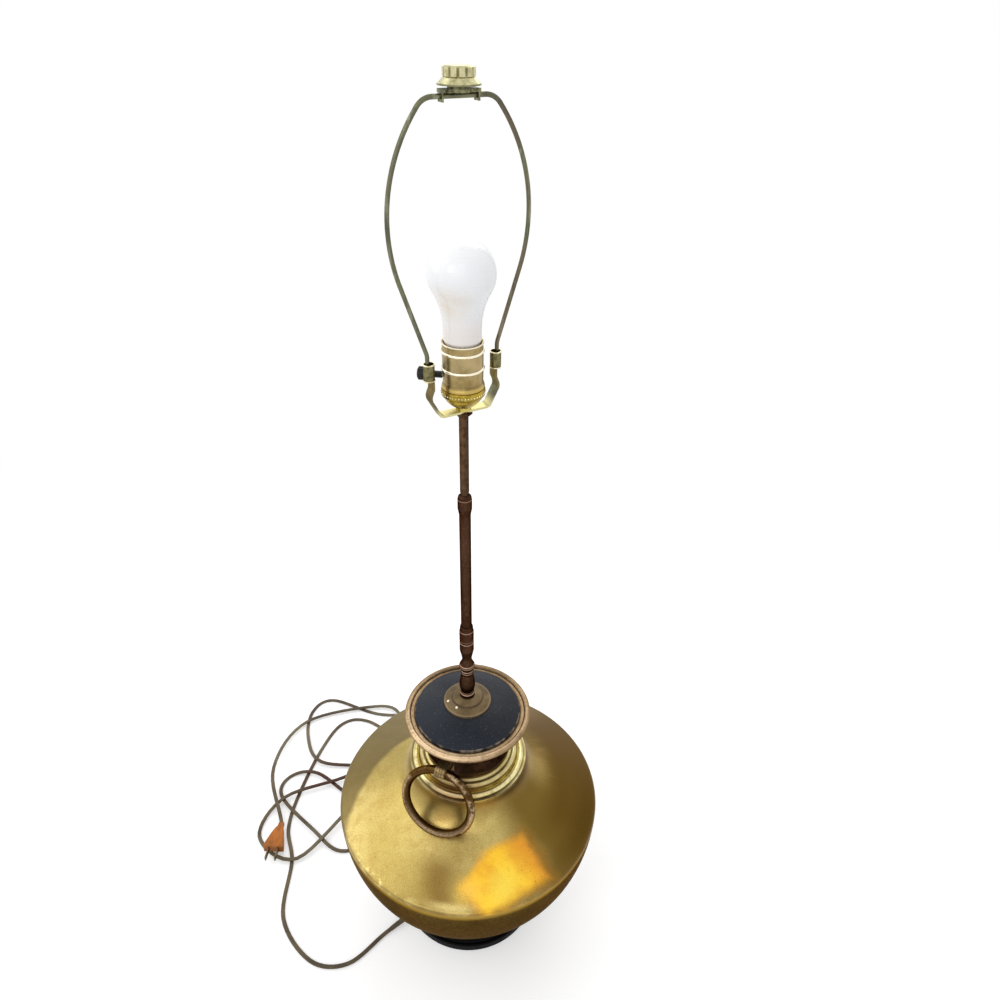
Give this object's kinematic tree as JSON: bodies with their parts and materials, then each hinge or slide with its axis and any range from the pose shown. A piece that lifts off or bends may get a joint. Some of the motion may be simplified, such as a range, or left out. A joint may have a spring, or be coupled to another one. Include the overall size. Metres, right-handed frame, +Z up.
{
  "type": "urn table lamp",
  "caption": "Tall table lamp: a spun brass urn on a black plinth with two ring handles, a slender column, a turn-switch socket, bulb, harp and finial, and a flat cord with a plug.",
  "frame": {"origin": "centre of the felt foot, where the lamp's axis meets the table", "axes": "+Z up along the column, -Y toward the viewer of the picture, +X to the right"},
  "size_m": [0.4571, 0.4651, 0.9547],
  "materials": {
    "felt": "matt felt",
    "plinth": "black lacquer, satin",
    "bushing": "matt black",
    "urn_lower": "spun brass, dull brown",
    "urn_upper": "spun brass, polished, small dark pits",
    "neck": "brass, darkened",
    "bronze_dark": "dark bronze patina",
    "rim": "bronze, worn pale on the ledge",
    "lid": "matt navy black",
    "handle": "aged dark bronze",
    "pipe": "dull threaded brass",
    "steel": "plated steel",
    "harp": "olive brass, dull",
    "sleeve": "brass, satin",
    "finial": "pale polished brass",
    "socket_cap": "yellow brass, darker",
    "socket_shell": "brass, bright beads",
    "liner": "insulating card",
    "phenolic": "dark moulded",
    "contact": "bare brass",
    "shaft": "turned steel",
    "knob": "black, ribbed",
    "bulb": "white frosted",
    "bulb_metal": "bright",
    "bulb_inner": "clear",
    "filament": "tungsten",
    "cord": "olive brown, flat twin",
    "plug": "amber",
    "blade": "plated blades"
  },
  "bodies": {
    "lamp": {"base_felt": "felt", "base_plinth": "plinth", "cord_bushing": "bushing", "urn_bowl": "urn_lower", "urn_shoulder": "urn_upper", "neck_moulding": "urn_upper", "urn_neck": "neck", "neck_band": "bronze_dark", "rim_ring": "rim", "lid_disc": "lid", "handle_bracket_front": "handle", "handle_bracket_rear": "handle", "bracket_rivets": "handle", "canopy": "rim", "column_baluster": "bronze_dark", "column_tube": "bronze_dark", "column_coupling": "bronze_dark", "lamp_pipe": "pipe", "pipe_nut": "steel", "pipe_washer": "steel", "saddle_locknut": "pipe", "harp_saddle": "harp", "socket_cap": "socket_cap", "cap_set_screw": "steel", "socket_shell": "socket_shell", "socket_liner": "liner", "socket_body": "phenolic", "screw_shell": "contact", "centre_contact": "contact", "terminal_screws": "contact", "inner_cord": "cord", "free_cord": "cord", "plug_body": "plug", "plug_blades": "blade"},
    "ring_front": {"ring_handle_front": "handle"},
    "ring_rear": {"ring_handle_rear": "handle"},
    "switch": {"switch_shaft": "shaft", "switch_knob": "knob"},
    "bulb": {"bulb_glass": "bulb", "bulb_cap": "bulb_metal", "bulb_contact": "contact", "bulb_stem": "bulb_inner", "bulb_filament": "filament"},
    "harp": {"harp_wire": "harp", "harp_plate": "sleeve", "shade_stud": "sleeve"},
    "sleeve_left": {"harp_sleeve_left": "sleeve"},
    "sleeve_right": {"harp_sleeve_right": "sleeve"},
    "finial": {"finial": "finial"}
  },
  "joints": [
    {"name": "ring_front_swing", "type": "hinge", "parent": "lamp", "child": "ring_front", "pos_m": [-0.02463, -0.05918, 0.313], "axis": [-0.9232, 0.3843, 0], "range_deg": [0, 163]},
    {"name": "ring_rear_swing", "type": "hinge", "parent": "lamp", "child": "ring_rear", "pos_m": [0.02463, 0.05918, 0.313], "axis": [0.9232, -0.3843, 0], "range_deg": [0, 163]},
    {"name": "switch_turn", "type": "hinge", "parent": "lamp", "child": "switch", "pos_m": [-0.01985, 0.00244, 0.7355], "axis": [-0.9925, 0.1219, 0], "continuous": true},
    {"name": "bulb_out", "type": "slide", "parent": "lamp", "child": "bulb", "axis": [0, 0, 1], "range_m": [0, 0.03]},
    {"name": "harp_lift", "type": "slide", "parent": "lamp", "child": "harp", "axis": [0, 0, 1], "range_m": [0, 0.03]},
    {"name": "sleeve_left_lift", "type": "slide", "parent": "harp", "child": "sleeve_left", "axis": [0, 0, 1], "range_m": [0, 0.008]},
    {"name": "sleeve_right_lift", "type": "slide", "parent": "harp", "child": "sleeve_right", "axis": [0, 0, 1], "range_m": [0, 0.008]},
    {"name": "finial_off", "type": "slide", "parent": "harp", "child": "finial", "axis": [0, 0, 1], "range_m": [0, 0.012]}
  ]
}
